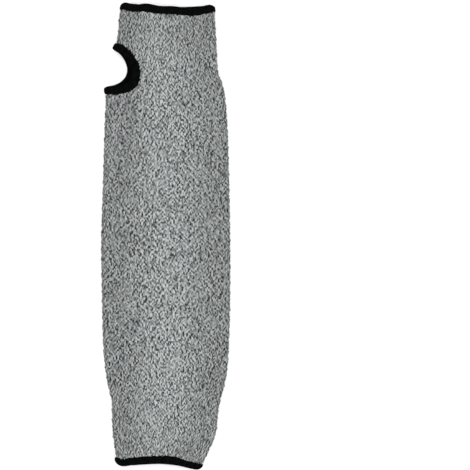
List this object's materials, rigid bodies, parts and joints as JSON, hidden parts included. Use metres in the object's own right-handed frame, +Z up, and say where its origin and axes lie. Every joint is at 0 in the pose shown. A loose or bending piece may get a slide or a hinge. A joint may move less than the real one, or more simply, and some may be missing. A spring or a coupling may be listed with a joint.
{
  "type": "cut resistant sleeve",
  "caption": "Knitted forearm sleeve with a wavy bound hand end, a bound arm end and a bound thumb hole in a side fold, lying flat and relaxed.",
  "frame": {"origin": "on the table, under the middle of the sleeve's bounding box", "axes": "+Y along the sleeve from the arm end to the hand end, +X to the right with the thumb hole on the left, +Z up off the table"},
  "size_m": [0.1268, 0.4582, 0.0199],
  "materials": {
    "knit": "grey and white marl knit, matt",
    "binding": "black overlock thread, matt"
  },
  "bodies": {
    "root": {"knit_tube": "knit", "hand_end_binding": "binding", "arm_end_binding": "binding", "thumb_hole_binding": "binding"}
  },
  "joints": []
}
